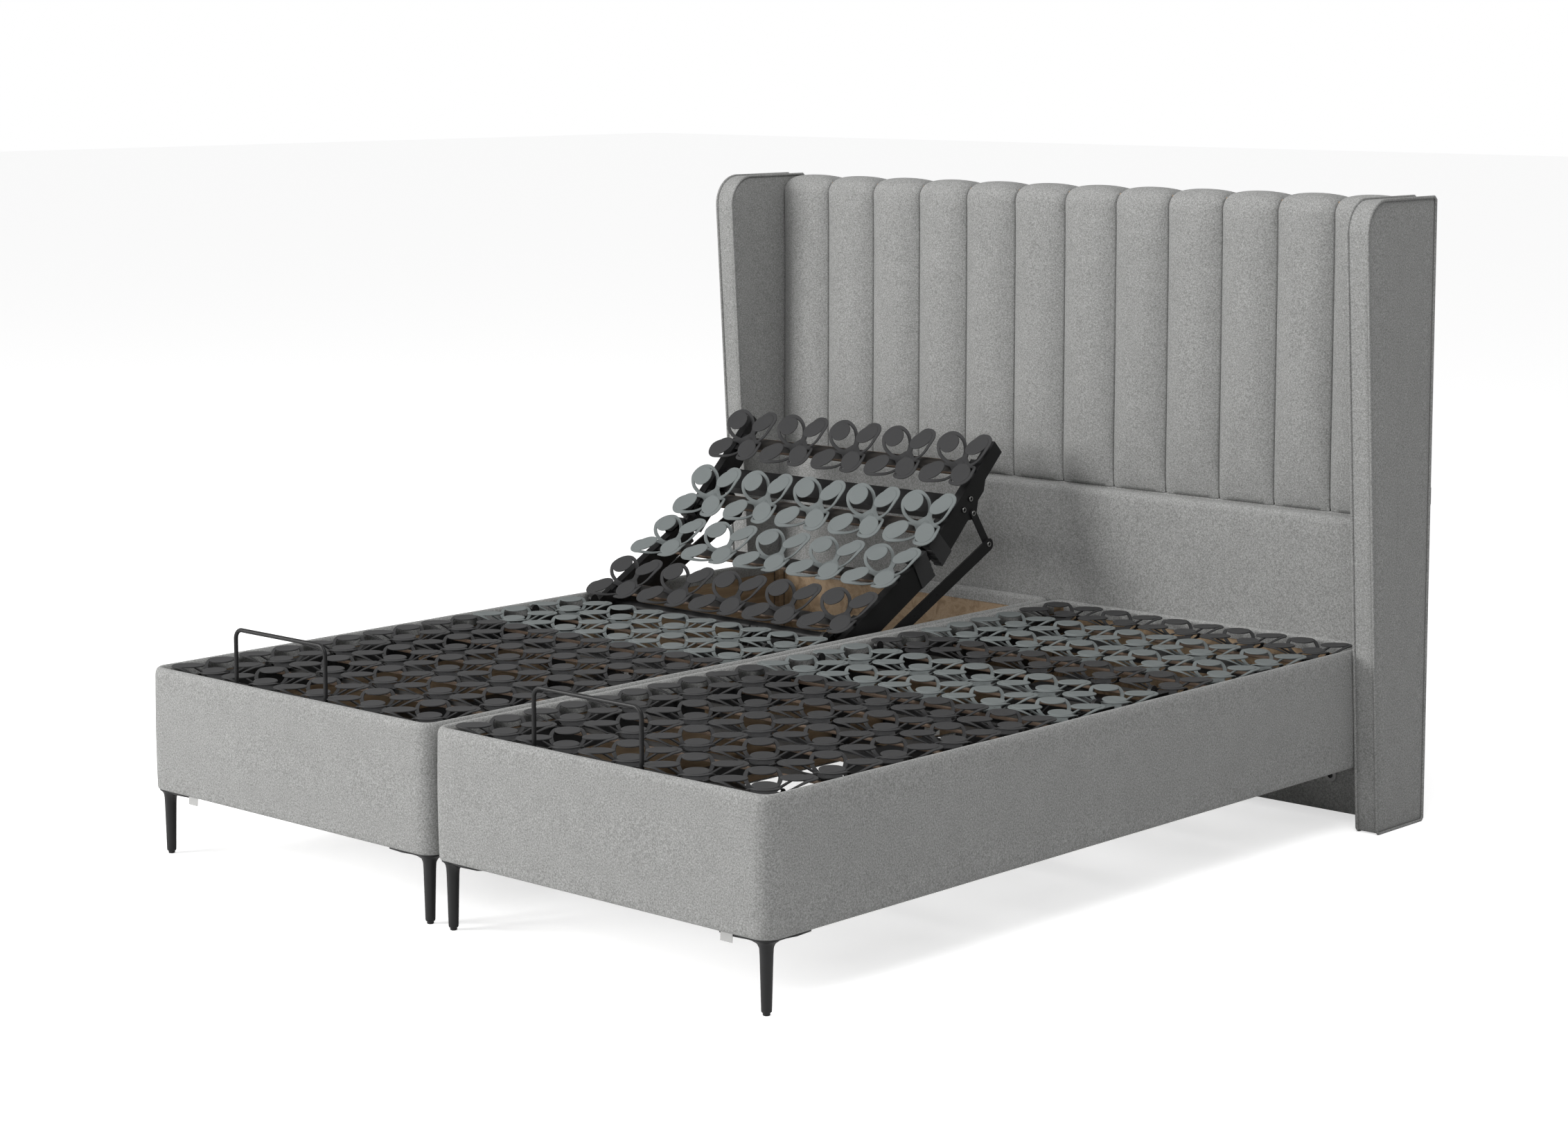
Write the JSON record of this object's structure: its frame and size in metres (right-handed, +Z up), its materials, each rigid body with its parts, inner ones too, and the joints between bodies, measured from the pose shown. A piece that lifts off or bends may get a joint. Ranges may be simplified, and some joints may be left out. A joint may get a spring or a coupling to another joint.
{
  "type": "adjustable bed base",
  "caption": "Twin adjustable bed base: upholstered boxes with spring-module slat platforms that fold at back, neck, thigh and knee, on a channelled wing headboard.",
  "frame": {"origin": "on the floor at the centre of the footprint", "axes": "+X across the bed, +Y towards the headboard, +Z up"},
  "size_m": [1.93, 2.119, 1.403],
  "materials": {
    "upholstery": "soft melange weave, light grey",
    "oak_board": "oak veneer, satin",
    "black_steel": "black powder coat",
    "slat": "laminated beech with black top foil",
    "module_light": "grey-green moulded plastic",
    "module_dark": "dark grey moulded plastic",
    "grey_plastic": "dark grey ribbed plastic",
    "motor_plastic": "black moulded housing",
    "bright_steel": "plain steel",
    "glide_plastic": "black nylon",
    "tag_cloth": "woven tag, blank"
  },
  "bodies": {
    "bed_root": {"left_box_cover": "upholstery", "right_box_cover": "upholstery", "box_boards": "oak_board", "base_frames": "black_steel", "seat_slats": "slat", "seat_modules": "module_light", "actuator_housings": "motor_plastic", "control_boxes": "motor_plastic", "control_trays": "black_steel", "corner_legs": "black_steel", "leg_glides": "glide_plastic", "headboard_core": "oak_board", "headboard_lower_panel": "upholstery", "headboard_channels": "upholstery", "headboard_wings": "upholstery", "headboard_glides": "glide_plastic", "head_brackets": "black_steel", "bracket_bolts": "bright_steel", "sewn_tags": "tag_cloth"},
    "left_back": {"left_back_frame": "black_steel", "left_back_slats": "slat", "left_back_modules": "module_light", "left_lower_hinge_blocks": "grey_plastic"},
    "left_neck": {"left_neck_frame": "black_steel", "left_neck_slats": "slat", "left_neck_modules": "module_dark", "left_upper_hinge_blocks": "grey_plastic"},
    "left_links": {"left_neck_links": "black_steel"},
    "left_arms": {"left_neck_arms": "black_steel"},
    "left_back_push_rod": {"left_back_rod": "bright_steel"},
    "left_thigh": {"left_thigh_frame": "black_steel", "left_thigh_slats": "slat", "left_thigh_modules": "module_light"},
    "left_calf": {"left_calf_frame": "black_steel", "left_calf_slats": "slat", "left_calf_modules": "module_dark", "left_calf_glides": "glide_plastic", "left_mattress_retainer": "black_steel"},
    "left_leg_push_rod": {"left_leg_rod": "bright_steel"},
    "right_back": {"right_back_frame": "black_steel", "right_back_slats": "slat", "right_back_modules": "module_light", "right_lower_hinge_blocks": "grey_plastic"},
    "right_neck": {"right_neck_frame": "black_steel", "right_neck_slats": "slat", "right_neck_modules": "module_dark", "right_upper_hinge_blocks": "grey_plastic"},
    "right_links": {"right_neck_links": "black_steel"},
    "right_arms": {"right_neck_arms": "black_steel"},
    "right_back_push_rod": {"right_back_rod": "bright_steel"},
    "right_thigh": {"right_thigh_frame": "black_steel", "right_thigh_slats": "slat", "right_thigh_modules": "module_light"},
    "right_calf": {"right_calf_frame": "black_steel", "right_calf_slats": "slat", "right_calf_modules": "module_dark", "right_calf_glides": "glide_plastic", "right_mattress_retainer": "black_steel"},
    "right_leg_push_rod": {"right_leg_rod": "bright_steel"}
  },
  "joints": [
    {"name": "left_back_hinge", "type": "hinge", "parent": "bed_root", "child": "left_back", "pos_m": [-0.4544, 0.1965, 0.404], "axis": [1, 0, 0], "range_deg": [-29, 21]},
    {"name": "left_neck_hinge", "type": "hinge", "parent": "left_back", "child": "left_neck", "pos_m": [-0.4544, 0.52912, 0.56093], "axis": [1, 0, 0], "range_deg": [-15.42, 11.17]},
    {"name": "left_link_pivot", "type": "hinge", "parent": "left_neck", "child": "left_links", "pos_m": [-0.4544, 0.68881, 0.63655], "axis": [1, 0, 0], "range_deg": [-35.09, 48.45]},
    {"name": "left_arm_pivot", "type": "hinge", "parent": "bed_root", "child": "left_arms", "pos_m": [-0.4544, 0.2808, 0.3263], "axis": [1, 0, 0], "range_deg": [-35.69, 25.85]},
    {"name": "left_back_rod_slide", "type": "slide", "parent": "bed_root", "child": "left_back_push_rod", "axis": [0, 1, 0], "range_m": [-0.05827, 0.0422]},
    {"name": "left_thigh_hinge", "type": "hinge", "parent": "bed_root", "child": "left_thigh", "pos_m": [-0.4544, 0.0025, 0.404], "axis": [-1, 0, 0], "range_deg": [0, 40]},
    {"name": "left_knee_hinge", "type": "hinge", "parent": "left_thigh", "child": "left_calf", "pos_m": [-0.4544, -0.3345, 0.35], "axis": [1, 0, 0], "range_deg": [0, 60.34]},
    {"name": "left_leg_rod_slide", "type": "slide", "parent": "bed_root", "child": "left_leg_push_rod", "axis": [0, -1, 0], "range_m": [0, 0.08113]},
    {"name": "right_back_hinge", "type": "hinge", "parent": "bed_root", "child": "right_back", "pos_m": [0.4544, 0.1965, 0.404], "axis": [1, 0, 0], "range_deg": [0, 50]},
    {"name": "right_neck_hinge", "type": "hinge", "parent": "right_back", "child": "right_neck", "pos_m": [0.4544, 0.5635, 0.38], "axis": [1, 0, 0], "range_deg": [-0.02, 26.57]},
    {"name": "right_link_pivot", "type": "hinge", "parent": "right_neck", "child": "right_links", "pos_m": [0.4544, 0.7305, 0.3223], "axis": [1, 0, 0], "range_deg": [-83.52, 0.02]},
    {"name": "right_arm_pivot", "type": "hinge", "parent": "bed_root", "child": "right_arms", "pos_m": [0.4544, 0.2808, 0.3263], "axis": [1, 0, 0], "range_deg": [-0.02, 61.52]},
    {"name": "right_back_rod_slide", "type": "slide", "parent": "bed_root", "child": "right_back_push_rod", "axis": [0, 1, 0], "range_m": [-0.00001, 0.10045]},
    {"name": "right_thigh_hinge", "type": "hinge", "parent": "bed_root", "child": "right_thigh", "pos_m": [0.4544, 0.0025, 0.404], "axis": [-1, 0, 0], "range_deg": [0, 40]},
    {"name": "right_knee_hinge", "type": "hinge", "parent": "right_thigh", "child": "right_calf", "pos_m": [0.4544, -0.3345, 0.35], "axis": [1, 0, 0], "range_deg": [0, 60.34]},
    {"name": "right_leg_rod_slide", "type": "slide", "parent": "bed_root", "child": "right_leg_push_rod", "axis": [0, -1, 0], "range_m": [0, 0.08113]}
  ],
  "couplings": [
    {"joint": "left_neck_hinge", "follows": "left_back_hinge", "ratio": 0.531},
    {"joint": "left_link_pivot", "follows": "left_back_hinge", "ratio": -1.67},
    {"joint": "left_arm_pivot", "follows": "left_back_hinge", "ratio": 1.23},
    {"joint": "left_back_rod_slide", "follows": "left_back_hinge", "m_per_rad": 0.1151},
    {"joint": "left_knee_hinge", "follows": "left_thigh_hinge", "ratio": 1.508},
    {"joint": "left_leg_rod_slide", "follows": "left_thigh_hinge", "m_per_rad": 0.1162},
    {"joint": "right_neck_hinge", "follows": "right_back_hinge", "ratio": 0.531},
    {"joint": "right_link_pivot", "follows": "right_back_hinge", "ratio": -1.67},
    {"joint": "right_arm_pivot", "follows": "right_back_hinge", "ratio": 1.23},
    {"joint": "right_back_rod_slide", "follows": "right_back_hinge", "m_per_rad": 0.1151},
    {"joint": "right_knee_hinge", "follows": "right_thigh_hinge", "ratio": 1.508},
    {"joint": "right_leg_rod_slide", "follows": "right_thigh_hinge", "m_per_rad": 0.1162}
  ]
}
